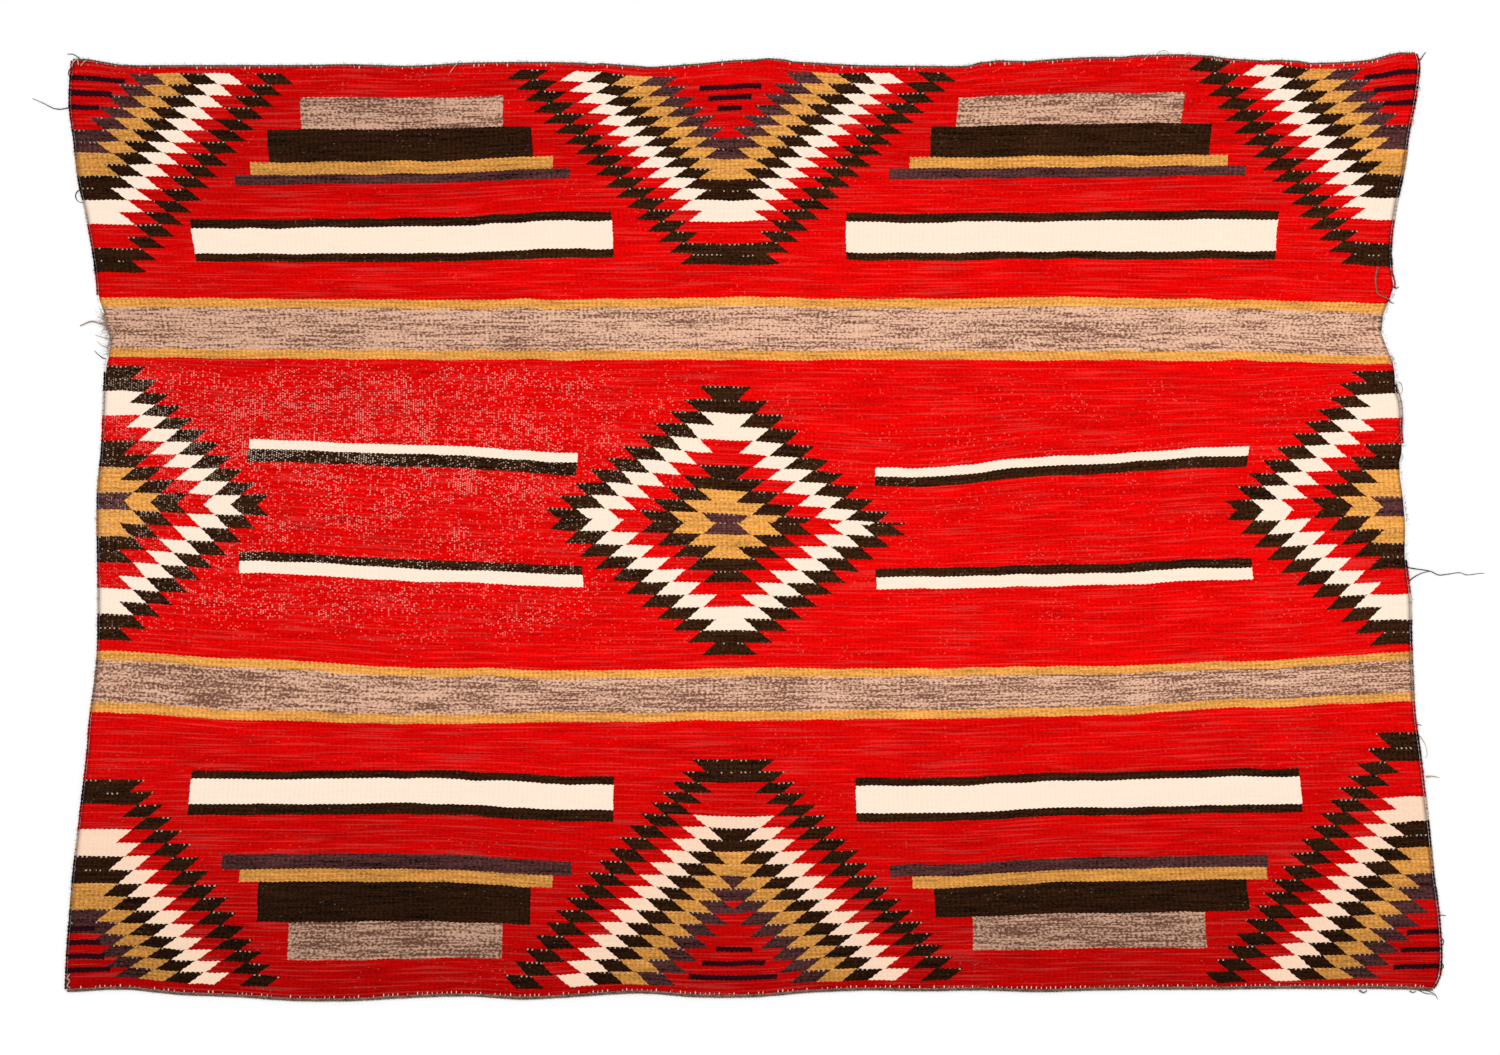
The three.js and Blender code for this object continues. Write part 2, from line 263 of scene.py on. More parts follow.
# Yarn that has come out of the weave: its kind, whether it lies on the face or beside the cloth on
# the floor, its thickness as a share of a loose yarn's, and a list of x and y
FREE_YARNS = (
    ("brown", "face", 1.7, ((829, 345), (826, 333), (826.5, 320), (829, 310), (837, 306), (846, 302))),
    ("brown", "face", 0.7, ((853, 192), (860, 168), (862, 145), (860, 127), (848, 112), (833, 110),
                            (819, 111))),
    ("brown", "floor", 1.8, ((805, -615), (810, -618), (815, -615))),
    ("brown", "floor", 1.3, ((872, -616), (876, -618), (880, -616))),
    ("pale", "face", 0.9, ((519, 621), (523, 626), (527, 630))),
    ("pale", "face", 0.9, ((535, 628), (540, 632), (547, 633), (551, 630), (554, 627))),
    ("pale", "face", 0.9, ((573, 625), (578, 631), (582, 626))),
    ("pale", "face", 0.9, ((-390, 620), (-397, 612), (-403, 604))),
    ("pale", "face", 1.5, ((-905, 612), (-903, 618), (-898, 621), (-896, 614))),
    ("pale", "face", 1.2, ((-893, 613), (-889, 618), (-885, 621))),
    ("pale", "face", 1.2, ((881, 588), (884, 584), (880, 581))),
    ("pale", "face", 1.2, ((873, 544), (876, 541), (874, 536))),
    ("pale", "face", 1.2, ((843, 228), (848, 227), (848, 222), (844, 220), (847, 216))),
    ("pale", "floor", 0.9, ((857, 194), (861, 190), (862, 182), (859, 176))),
    ("pale", "floor", 1.6, ((893, -331), (902, -330.5), (911, -332))),
    ("pale", "floor", 0.9, ((884, -276), (889, -282), (893, -290), (895, -302), (892, -306))),
    ("pale", "face", 1.2, ((-908, -593), (-911, -598), (-908, -602), (-911, -608), (-907, -611))),
)

# Yarn measures in millimetres
PLY_SHARE = {2: 0.54, 3: 0.48}  # a ply's radius as a share of its cord's
END_TWIST = 15.0
SIDE_TWIST = 11.0
YARN_TWIST = 6.0
FIBRE_RADIUS = 0.14

# Node kinds and settings that come up often
MATH = "ShaderNodeMath"
MIX = "ShaderNodeMix"
RANGE = "ShaderNodeMapRange"
SMOOTH = {"interpolation_type": "SMOOTHSTEP"}
IN_COLOUR = {"out": 2, "data_type": "RGBA"}  # for a mix of two colours

# Camera and light
PHOTO_WIDTH = 1500
PIXEL = 1.329  # what one pixel of the photo's frame shows on the floor, in mm
CENTRE_X = -4.65
CAMERA_HEIGHT = 4.0
SENSOR = 36.0
FLOOR_SIZE = 30.0
SUN_ENERGY = 1.45
SUN_ANGLE = 25  # degrees
SUN_TILT = (-24, -30)  # degrees about X and about Y
ROOM_LIGHT = 0.68


def srgb(code):
    """Linear red, green and blue of an sRGB hex code."""
    shares = [int(code[i:i + 2], 16) / 255 for i in (1, 3, 5)]
    return tuple(c / 12.92 if c <= 0.04045 else ((c + 0.055) / 1.055) ** 2.4 for c in shares)


def smooth_column(column, share):
    """A smooth curve through evenly spaced values: a cubic with the slopes of its neighbours."""
    last = len(column) - 1
    place = np.clip(share, 0, 1) * last
    row = np.minimum(place.astype(int), last - 1)
    f = place - row
    before, start = column[np.maximum(row - 1, 0)], column[row]
    end, after = column[row + 1], column[np.minimum(row + 2, last)]
    bend = (end - start) * f * f * (3 - 2 * f)
    return start + bend + (end - before) / 2 * f * (1 - f) ** 2 - (after - start) / 2 * f * f * (1 - f)


def ragged(side, place, inset):
    """How far in mm a worn edge pulls a point outwards: straight lines between the measured places,
    fading with the square of how far in the point lies."""
    places, outwards = zip(*RAGGED[side])
    return np.interp(place, places, outwards) * np.clip(1 - inset / RAG_REACH, 0, 1) ** 2


def lying_place(across, along):
    """X and Y in mm of a share of the loom's width and length: straight lines between the sides
    and between the ends, each of which is a smooth curve, and the worn edges' own ins and outs."""
    left, right = smooth_column(SIDES["left"], along), smooth_column(SIDES["right"], along)
    bottom, top = smooth_column(ENDS["bottom"], across), smooth_column(ENDS["top"], across)
    u, v = across * LOOM_WIDTH, along * LOOM_LENGTH
    pull_x = ragged("right", v, LOOM_WIDTH - u) - ragged("left", v, u)
    pull_y = ragged("top", u, LOOM_LENGTH - v)
    return left + (right - left) * across + pull_x, bottom + (top - bottom) * along + pull_y


def weft_lift(across, level):
    """How far in mm the weft of a level lies above it: smooth steps between the places of BEAT,
    and near an end also part of that end's wave."""
    place = np.clip(across, 0, 1) * 8
    side = np.minimum(place.astype(int), 7)
    f = place - side
    f = f * f * (3 - 2 * f)
    row = np.clip(np.searchsorted(BEAT["level"], level, side="right") - 1, 0, len(BEAT) - 2)
    g = (level - BEAT["level"][row]) / (BEAT["level"][row + 1] - BEAT["level"][row])
    g = g * g * (3 - 2 * g)
    lifts = BEAT["lifts"]
    low = lifts[row, side] * (1 - f) + lifts[row, side + 1] * f
    high = lifts[row + 1, side] * (1 - f) + lifts[row + 1, side + 1] * f
    near_top = np.clip(1 - (LOOM_LENGTH - level) / END_FADE, 0, 1) ** 2
    near_bottom = np.clip(1 - level / END_FADE, 0, 1) ** 2
    top_wave = smooth_column(ENDS["top"], across) - LOOM_MIDDLE
    bottom_wave = smooth_column(ENDS["bottom"], across) + LOOM_MIDDLE
    return low * (1 - g) + high * g + near_top * top_wave + near_bottom * bottom_wave


def weave_place(u, v):
    """X and Y in mm of a point U, V of the woven figures. At the two ends the weft keeps to the
    cord, so the lift fades out over the last rows."""
    across = u / LOOM_WIDTH
    bottom, top = smooth_column(ENDS["bottom"], across), smooth_column(ENDS["top"], across)
    height = np.clip((v + weft_lift(across, v) - LOOM_MIDDLE - bottom) / (top - bottom), 0, 1)
    return lying_place(across, height)


def cloth_height(x, y):
    """Height in mm of the upper face: the thickness and a low wave along X and Y."""
    wave = np.sin(x / SWELL_LENGTH_X * 2 * np.pi) * np.cos(y / SWELL_LENGTH_Y * 2 * np.pi)
    return bpy.context.scene.rug_sizes.cloth_thickness / MM + SWELL * wave


def cloth_surface(u, v):
    """The upper face at grids of U and V: the cloth's height, less the grooves between its ridges,
    which follow a cosine of U, and rounded down along a quarter sine near the edges."""
    x, y = weave_place(u, v)
    groove = RIDGE_HEIGHT * (0.5 - 0.5 * np.cos(2 * np.pi * u / RIDGE_PITCH))
    inset = np.minimum(np.minimum(u, LOOM_WIDTH - u), np.minimum(v, LOOM_LENGTH - v))
    rise = np.sin(np.clip(inset / EDGE_ROLL, 0, 1) * np.pi / 2)
    z = (cloth_height(x, y) - groove * rise) * (EDGE_SHARE + (1 - EDGE_SHARE) * rise)
    return np.stack((x, y, z), axis=-1)


def cloth_shell():
    """Points, faces and UV of the closed cloth: the upper face on a fine grid, the flat underside
    on every second of its rows and a few of its columns, and walls between the two."""
    columns = int(LOOM_WIDTH / RIDGE_PITCH) * COLUMNS_PER_RIDGE + 1
    inner = np.linspace(ROW_PITCH, LOOM_LENGTH - ROW_PITCH, int(LOOM_LENGTH / ROW_PITCH) - 1)
    near = np.array([0.0, 1.2, 3.6])
    levels = np.concatenate((near, inner, LOOM_LENGTH - near[::-1]))
    u, v = np.meshgrid(np.linspace(0, LOOM_WIDTH, columns), levels)
    upper = cloth_surface(u, v)
    rows = len(levels)
    kept_rows = np.round(np.linspace(0, rows - 1, rows // 2)).astype(int)
    kept_columns = np.round(np.linspace(0, columns - 1, UNDERSIDE_COLUMNS)).astype(int)
    kept = np.ix_(kept_rows, kept_columns)
    lower = upper[kept] * (1, 1, 0)
    loom = np.stack((u, v), axis=-1)
    points = np.concatenate((upper.reshape(-1, 3), lower.reshape(-1, 3)))
    uv = np.concatenate((loom.reshape(-1, 2), loom[kept].reshape(-1, 2))) * MM

    top = np.arange(rows * columns).reshape(rows, columns)
    foot = rows * columns + np.arange(lower[..., 0].size).reshape(lower.shape[:2])
    faces = [grid_quads(top), grid_quads(foot)[:, ::-1]]
    faces.append(wall(top[0], foot[0], kept_columns)[:, ::-1])
    faces.append(wall(top[-1], foot[-1], kept_columns))
    faces.append(wall(top[:, 0], foot[:, 0], kept_rows))
    faces.append(wall(top[:, -1], foot[:, -1], kept_rows)[:, ::-1])
    return points, faces, uv


def wall(line, foot, kept):
    """Triangles from a line of points down to its foot, which has only the kept ones of them."""
    below = np.searchsorted(kept, np.arange(len(line) - 1), side="right") - 1
    upright = np.stack((line[:-1], line[1:], foot[below]), -1)
    hanging = np.stack((foot[:-1], line[kept[1:]], foot[1:]), -1)
    return np.concatenate((upright, hanging))


def grid_quads(index):
    """The quads of a grid of point numbers, facing up where its rows run along Y and columns along X."""
    corners = (index[:-1, :-1], index[:-1, 1:], index[1:, 1:], index[1:, :-1])
    return np.stack(corners, -1).reshape(-1, 4)


def unit(vectors):
    """Vectors scaled to length one."""
    return vectors / np.linalg.norm(vectors, axis=-1, keepdims=True)


def tubes(paths, radii, sides, number=0):
    """Closed round tubes along many paths with equally many points. Each ring lies across its path:
    radius times the cosine of an angle sideways plus radius times its sine upwards. UV is the
    distance along the path in metres and the share around it plus a whole number."""
    many, steps = paths.shape[:2]
    along = unit(np.gradient(paths, axis=1))
    sideways = unit(np.cross((0.0, 0.0, 1.0), along))
    upwards = np.cross(along, sideways)
    angle = (np.arange(sides) / sides * 2 * np.pi)[:, None]
    radii = np.broadcast_to(radii, (many, steps))[:, :, None, None]
    round_it = np.cos(angle) * sideways[:, :, None] + np.sin(angle) * upwards[:, :, None]
    rings = (paths[:, :, None] + radii * round_it).reshape(many, steps * sides, 3)
    points = np.concatenate((rings, paths[:, :1], paths[:, -1:]), axis=1)
    size = steps * sides + 2

    start = np.arange(steps - 1)[:, None] * sides
    here, there = start + np.arange(sides), start + (np.arange(sides) + 1) % sides
    walls = np.stack((here, there, there + sides, here + sides), -1).reshape(-1, 4)
    first, second = np.arange(sides), (np.arange(sides) + 1) % sides
    last = (steps - 1) * sides
    caps = np.concatenate((
        np.stack((np.full(sides, size - 2), second, first), -1),
        np.stack((np.full(sides, size - 1), last + first, last + second), -1),
    ))
    shift = (np.arange(many) * size)[:, None, None]
    faces = [(walls + shift).reshape(-1, 4), (caps + shift).reshape(-1, 3)]

    gone = np.linalg.norm(np.diff(paths, axis=1), axis=-1)
    run = np.concatenate((np.zeros((many, 1)), np.cumsum(gone, axis=1)), axis=1) * MM
    around = np.broadcast_to(np.arange(sides) / sides + number, (many, steps, sides))
    ring_uv = np.stack((np.broadcast_to(run[:, :, None], around.shape), around), -1)
    ends = np.stack((run[:, [0, -1]], np.full((many, 2), number + 0.5)), -1)
    uv = np.concatenate((ring_uv.reshape(many, -1, 2), ends), axis=1)
    return points.reshape(-1, 3), faces, uv.reshape(-1, 2)


def join(parts):
    """Several sets of points, faces and UV as one set."""
    points, uv, faces = [], [], []
    for part_points, part_faces, part_uv in parts:
        shift = sum(len(p) for p in points)
        faces += [f + shift for f in part_faces]
        points.append(part_points)
        uv.append(part_uv)
    return np.concatenate(points), faces, np.concatenate(uv)


def even_path(points, step):
    """A path of even steps along the straight stretches between close points."""
    run = np.concatenate(([0], np.cumsum(np.linalg.norm(np.diff(points, axis=0), axis=1))))
    places = np.linspace(0, run[-1], max(int(run[-1] / step), 3) + 1)
    return np.stack([np.interp(places, run, points[:, axis]) for axis in range(3)], -1)


def plied_cord(path, radii, plies, twist, sides=6):
    """Plies that wind round a path. A ply's centre stands off the path by its share of the radius,
    at an angle that turns once in every length of twist, and the plies are spaced evenly round."""
    along = unit(np.gradient(path, axis=0))
    sideways = unit(np.cross((0.0, 0.0, 1.0), along))
    upwards = np.cross(along, sideways)
    run = np.concatenate(([0], np.cumsum(np.linalg.norm(np.diff(path, axis=0), axis=1))))
    share = PLY_SHARE[plies]
    parts = []
    for ply in range(plies):
        angle = (run / twist + ply / plies) * 2 * np.pi
        swing = np.cos(angle)[:, None] * sideways + np.sin(angle)[:, None] * upwards
        centre = path + (radii * (1 - share))[:, None] * swing
        parts.append(tubes(centre[None], (radii * share)[None], sides, ply))
    return join(parts)


def edge_path(side, start, stop, size, step):
    """The line of a cord beside one edge of the cloth: the edge's own line, moved outwards by the
    clearance and half the cord, and lying on the floor."""
    share = np.linspace(start, stop, 600)
    none, whole = np.zeros_like(share), np.ones_like(share)
    across, along, outward = {
        "bottom": (share, none, -1), "top": (share, whole, 1),
        "left": (none, share, 1), "right": (whole, share, -1),
    }[side]
    x, y = lying_place(across, along)
    run_x, run_y = np.gradient(x), np.gradient(y)
    reach = outward * (CLEARANCE + size / 2) / np.hypot(run_x, run_y)
    line = np.stack((x - run_y * reach, y + run_x * reach, np.full_like(x, size / 2)), -1)
    return even_path(line, step)


def uneven(count, rng, every, amount):
    """Smooth random values round zero, one for each of count steps and a new one every few steps."""
    knots = rng.uniform(-amount, amount, max(count // every, 2) + 1)
    return smooth_column(knots, np.linspace(0, 1, count))


def end_yarn(points, size, rng):
    """A loose yarn of two plies along a smooth line through a few points. It thins to its tip."""
    x, y = (np.array(column, float) for column in zip(*points))
    share = np.linspace(0, 1, 12 * len(points))
    height = np.full_like(share, size / 2)
    path = even_path(np.stack((smooth_column(x, share), smooth_column(y, share), height), -1), 0.9)
    radii = size / 2 * np.linspace(1, 0.45, len(path)) * (1 + uneven(len(path), rng, 4, 0.12))
    return plied_cord(path, radii, 2, YARN_TWIST, 5)


def fibres(starts, headings, lengths, rng):
    """Single wool hairs, each a thin curved tube. It leaves its start in its heading and turns
    evenly, and it sinks towards the floor as it goes."""
    many = len(starts)
    share = np.linspace(0, 1, 5)
    turn = headings[:, None] + rng.uniform(-1.8, 1.8, many)[:, None] * share
    step = lengths[:, None] / (len(share) - 1)
    x = starts[:, :1] + np.cumsum(np.cos(turn) * step, axis=1) - np.cos(turn[:, :1]) * step
    y = starts[:, 1:2] + np.cumsum(np.sin(turn) * step, axis=1) - np.sin(turn[:, :1]) * step
    z = starts[:, 2:3] * (1 - share) + FIBRE_RADIUS * share + rng.uniform(0, 0.8, many)[:, None] * share
    radii = FIBRE_RADIUS * (1 - 0.5 * share)
    return tubes(np.stack((x, y, z), -1), radii[None], 3)


def make_piece(name, points, faces, uv, material, slot, replaced=None):
    """A smooth shaded mesh object from points in mm. It rides on the rug's one body, and stands for
    the plain solid that it replaces."""
    corners = np.concatenate([f.ravel() for f in faces]).astype(np.int32)
    sizes = np.concatenate([np.full(len(f), f.shape[1]) for f in faces])
    mesh = bpy.data.meshes.new(name)
    mesh.vertices.add(len(points))
    mesh.vertices.foreach_set("co", (points * MM).astype(np.float32).ravel())
    mesh.loops.add(len(corners))
    mesh.loops.foreach_set("vertex_index", corners)
    mesh.polygons.add(len(sizes))
    mesh.polygons.foreach_set("loop_start", np.concatenate(([0], np.cumsum(sizes)[:-1])).astype(np.int32))
    mesh.polygons.foreach_set("use_smooth", np.ones(len(sizes), bool))
    layer = mesh.uv_layers.new(name="weave")
    layer.data.foreach_set("uv", uv[corners].astype(np.float32).ravel())
    mesh.update(calc_edges=True)
    if mesh.validate():
        raise RuntimeError(f"{name} has faces that can't be")
    piece = bpy.data.objects.new(name, mesh)
    bpy.context.scene.collection.objects.link(piece)
    mesh.materials.append(material)
    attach(piece, BODY)
    if replaced:
        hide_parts(replaced)
    return piece


def add(tree, kind, inputs=(), operation=None, out=0, **settings):
    """Adds one node with its operation and settings. Inputs go by socket number or name, or in
    order, and each is a socket to link or a value to set. It returns one output."""
    node = tree.nodes.new(kind)
    if operation:
        node.operation = operation
    for name, value in settings.items():
        setattr(node, name, value)
    pairs = inputs.items() if isinstance(inputs, dict) else enumerate(inputs)
    for place, value in pairs:
        if isinstance(value, bpy.types.NodeSocket):
            tree.links.new(value, node.inputs[place])
        else:
            node.inputs[place].default_value = value
    return node.outputs[out]


def new_finish(name, roughness):
    """A material with one Principled surface for dry wool: rough, and with hardly any gloss, because
    light is lost between its fibres. A little sheen stands for the fibre ends."""
    material = bpy.data.materials.new(name)
    material.use_nodes = True
    tree = material.node_tree
    surface = tree.nodes["Principled BSDF"]
    surface.inputs["Roughness"].default_value = roughness
    surface.inputs["Specular IOR Level"].default_value = 0.03
    surface.inputs["Sheen Weight"].default_value = 0.01
    surface.inputs["Sheen Roughness"].default_value = 0.6
    return material, tree, surface


def dress(tree, surface, colour, height, strength, depth):
    """Gives a surface its colour, and a relief of a strength and a depth in mm."""
    tree.links.new(colour, surface.inputs["Base Color"])
    normal = add(tree, "ShaderNodeBump", {"Strength": strength, "Distance": depth * MM, "Height": height})
    tree.links.new(normal, surface.inputs["Normal"])


def wave(tree, value, length):
    """The sine of a measure that repeats after a length."""
    turn = add(tree, MATH, [value, 2 * math.pi / length], "MULTIPLY")
    return add(tree, MATH, [turn], "SINE")


def stretched_noise(tree, u, v, length_u, length_v, detail=2.0):
    """Soft noise from 0 to 1 whose marks have the given lengths along the weft and the warp."""
    place = add(tree, "ShaderNodeCombineXYZ", [
        add(tree, MATH, [u, length_u], "DIVIDE"),
        add(tree, MATH, [v, length_v], "DIVIDE"),
    ])
    return add(tree, "ShaderNodeTexNoise", {"Vector": place, "Scale": 1.0, "Detail": detail},
               noise_dimensions="2D")


def read_table(tree, row, count, columns):
    """Sockets that give each column's value in a row of a table. Colour ramps with a flat step for
    each row hold the columns, three in each, as shares of the column's range."""
    place = add(tree, MATH, [row, 0.5], "ADD")
    place = add(tree, MATH, [place, count], "DIVIDE")
    lows = [float(np.min(column)) for column in columns]
    spans = [max(float(np.ptp(column)), 1e-6) for column in columns]
    shares = [(np.asarray(column) - low) / span for column, low, span in zip(columns, lows, spans)]
    sockets = []
    for first in range(0, len(columns), 3):
        held = shares[first:first + 3]
        ramp = tree.nodes.new("ShaderNodeValToRGB")
        ramp.color_ramp.interpolation = "CONSTANT"
        steps = ramp.color_ramp.elements
        steps.remove(steps[1])
        for number in range(count):
            step = steps[0] if number == 0 else steps.new(number / count)
            values = [float(column[number]) for column in held]
            step.color = values + [0.0] * (3 - len(values)) + [1.0]
        tree.links.new(place, ramp.inputs[0])
        split = tree.nodes.new("ShaderNodeSeparateColor")
        tree.links.new(ramp.outputs[0], split.inputs[0])
        sockets += [
            add(tree, MATH, [split.outputs[i], spans[first + i], lows[first + i]], "MULTIPLY_ADD")
            for i in range(len(held))
        ]
    return sockets


def count_passed(tree, value, marks):
    """How many of a list of marks a value has passed. A mark is a number or a socket."""
    total = 0.0
    for mark in marks:
        passed = add(tree, MATH, [value, mark], "GREATER_THAN")
        total = add(tree, MATH, [passed, total], "ADD")
    return total


def both(tree, *tests):
    """One where all tests are one, else nought."""
    result = tests[0]
    for test in tests[1:]:
        result = add(tree, MATH, [result, test], "MULTIPLY")
    return result


def loom_measures(tree):
    """U and V in mm from the UV map, and the same with the weft's small steps and wanderings: a
    line along the weft steps over every second warp, and a line along the warp is nibbled."""
    uv = add(tree, "ShaderNodeUVMap", uv_map="weave")
    split = tree.nodes.new("ShaderNodeSeparateXYZ")
    tree.links.new(uv, split.inputs[0])
    u = add(tree, MATH, [split.outputs[0], 1 / MM], "MULTIPLY")
    v = add(tree, MATH, [split.outputs[1], 1 / MM], "MULTIPLY")
    drift = add(tree, MATH, [stretched_noise(tree, u, v, 60, 45), 0.5], "SUBTRACT")
    nibble = add(tree, MATH, [stretched_noise(tree, u, v, 9, 3.2), 0.5], "SUBTRACT")
    teeth = add(tree, MATH, [wave(tree, u, RIDGE_PITCH), TOOTH], "MULTIPLY")
    stepped_v = add(tree, MATH, [drift, 5.0, v], "MULTIPLY_ADD")
    stepped_v = add(tree, MATH, [stepped_v, teeth], "ADD")
    stepped_u = add(tree, MATH, [nibble, 3.0, u], "MULTIPLY_ADD")
    stepped_u = add(tree, MATH, [drift, 4.0, stepped_u], "MULTIPLY_ADD")
    return u, v, stepped_u, stepped_v


def bar_wool(tree, u, v):
    """The wool number of the bars and bands, red where there is none."""
    side = add(tree, MATH, [u, HALF_LINE], "GREATER_THAN")
    levels = []
    for bar in BARS:
        level = bar["level_left"]
        step = bar["level_right"] - level
        if step:
            level = add(tree, MATH, [side, step, level], "MULTIPLY_ADD")
        levels.append(level)
    row = count_passed(tree, v, levels)
    columns = [np.concatenate(([0.0], BARS[name])) for name in BARS.dtype.names[2:]]
    wool, left_from, left_to, right_from, right_to = read_table(tree, row, len(BARS) + 1, columns)
    start = add(tree, MIX, {0: side, 2: left_from, 3: right_from})
    stop = add(tree, MIX, {0: side, 2: left_to, 3: right_to})
    inside = both(
        tree,
        add(tree, MATH, [u, start], "GREATER_THAN"),
        add(tree, MATH, [u, stop], "LESS_THAN"),
        add(tree, MATH, [v, BARS_END], "LESS_THAN"),
    )
    return both(tree, wool, inside)


def figure_wool(tree, u, v):
    """The wool number of the serrated figures, and where they are. Going in from a figure's edge,
    each stripe's width that is passed leads to the next wool, but in the middle a stripe may only
    start after its rows. Row and place in the row come from the distance to the tip."""
    tier = count_passed(tree, v, TIER_LEVELS)
    row = add(tree, MATH, [tier, 3.0, count_passed(tree, u, COLUMN_LINES)], "MULTIPLY_ADD")
    sizes = dict(zip(FIGURES.dtype.names, read_table(
        tree, row, len(FIGURES), [FIGURES[name] for name in FIGURES.dtype.names])))
    off = add(tree, MATH, [u, sizes["centre"]], "SUBTRACT")
    out = add(tree, MATH, [off], "ABSOLUTE")
    tilt = add(tree, MATH, [off, 0.01], "MULTIPLY")
    sag = add(tree, MATH, [out, 0.01], "MULTIPLY")
    gone = add(tree, MATH, [tilt, sizes["lean"], v], "MULTIPLY_ADD")
    gone = add(tree, MATH, [sag, sizes["bow"], gone], "MULTIPLY_ADD")
    gone = add(tree, MATH, [gone, sizes["tip"]], "SUBTRACT")
    gone = add(tree, MATH, [gone, sizes["way"]], "MULTIPLY")
    whole = add(tree, MATH, [sizes["rows"], sizes["pitch"]], "MULTIPLY")
    turn = add(tree, MATH, [gone, whole], "DIVIDE")
    place = add(tree, MATH, [gone, sizes["pitch"]], "DIVIDE")
    for half_turns, name in ((1, "early"), (2, "sway")):
        swing = add(tree, MATH, [turn, half_turns * math.pi], "MULTIPLY")
        swing = add(tree, MATH, [swing], "SINE")
        place = add(tree, MATH, [swing, sizes[name], place], "MULTIPLY_ADD")
    step = add(tree, MATH, [place], "FLOOR")
    part = add(tree, MATH, [place, step], "SUBTRACT")

    edge = add(tree, MATH, [step, sizes["growth"], sizes["reach"]], "MULTIPLY_ADD")
    edge = add(tree, MATH, [part, -CELL_SLANT, edge], "MULTIPLY_ADD")
    arch = add(tree, MATH, [step, sizes["rows"]], "DIVIDE")
    arch = add(tree, MATH, [arch, math.pi], "MULTIPLY")
    arch = add(tree, MATH, [arch], "SINE")
    edge = add(tree, MATH, [arch, sizes["belly"], edge], "MULTIPLY_ADD")
    depth = add(tree, MATH, [edge, out], "SUBTRACT")
    passed = add(tree, MATH, [depth, sizes["first"]], "SUBTRACT")
    passed = add(tree, MATH, [passed, sizes["stripe"]], "DIVIDE")
    passed = add(tree, MATH, [add(tree, MATH, [passed], "FLOOR"), 1.0], "ADD")
    since = add(tree, MATH, [step, LATE_ROW - 0.5], "SUBTRACT")
    late = both(
        tree,
        add(tree, MATH, [since, 0.0], "GREATER_THAN"),
        add(tree, MATH, [since, sizes["late"]], "LESS_THAN"),
    )
    allowed = add(tree, MATH, [step, late], "SUBTRACT")
    allowed = add(tree, MATH, [allowed, 1 / STRIPE_ROWS], "MULTIPLY")
    allowed = add(tree, MATH, [allowed], "FLOOR")
    stripe = add(tree, MATH, [passed, allowed], "MINIMUM")
    stripe = add(tree, MATH, [stripe, 0.0], "MAXIMUM")
    stripe = add(tree, MATH, [stripe, STRIPE_COUNT - 1], "MINIMUM")
    kind = count_passed(tree, tier, (0.5, 2.5))
    stripe = add(tree, MATH, [kind, STRIPE_COUNT, stripe], "MULTIPLY_ADD")
    wool, = read_table(tree, stripe, len(STRIPES), [STRIPES])
    last_row = add(tree, MATH, [sizes["rows"], 0.5], "SUBTRACT")
    inside = both(
        tree,
        add(tree, MATH, [place, 0.0], "GREATER_THAN"),
        add(tree, MATH, [step, last_row], "LESS_THAN"),
        add(tree, MATH, [depth, 0.0], "GREATER_THAN"),
    )
    # Warps show as a line of dots under the upper edge of each row of cells that aren't red
    upper_part = add(tree, MATH, [sizes["way"], 0.5, 0.5], "MULTIPLY_ADD")
    upper_part = add(tree, MATH, [part, upper_part], "SUBTRACT")
    upper_part = add(tree, MATH, [upper_part], "ABSOLUTE")
    under_edge = add(tree, MATH, [upper_part, sizes["pitch"]], "MULTIPLY")
    dots = both(
        tree,
        inside,
        add(tree, MATH, [wool, 0.5], "GREATER_THAN"),
        add(tree, MATH, [under_edge, DOT_HEIGHT], "LESS_THAN"),
        add(tree, MATH, [wave(tree, u, RIDGE_PITCH), 0.5], "GREATER_THAN"),
        add(tree, MATH, [stretched_noise(tree, u, v, 14, 30), 0.5], "GREATER_THAN"),
    )

    beyond = add(tree, MATH, [gone, sizes["dash"]], "SUBTRACT")
    line = add(tree, MATH, [beyond, sizes["dash_gap"]], "DIVIDE")
    line = add(tree, MATH, [line], "ROUND")
    line = add(tree, MATH, [line, 0.0], "MAXIMUM")
    line = add(tree, MATH, [line, sizes["dash_last"]], "MINIMUM")
    miss = add(tree, MATH, [line, sizes["dash_gap"]], "MULTIPLY")
    miss = add(tree, MATH, [miss, beyond], "SUBTRACT")
    miss = add(tree, MATH, [miss], "ABSOLUTE")
    half = add(tree, MATH, [line, sizes["dash_more"], sizes["dash_half"]], "MULTIPLY_ADD")
    dash = both(
        tree,
        add(tree, MATH, [miss, DASH_THICKNESS / 2], "LESS_THAN"),
        add(tree, MATH, [out, half], "LESS_THAN"),
    )
    return wool, inside, dash, dots


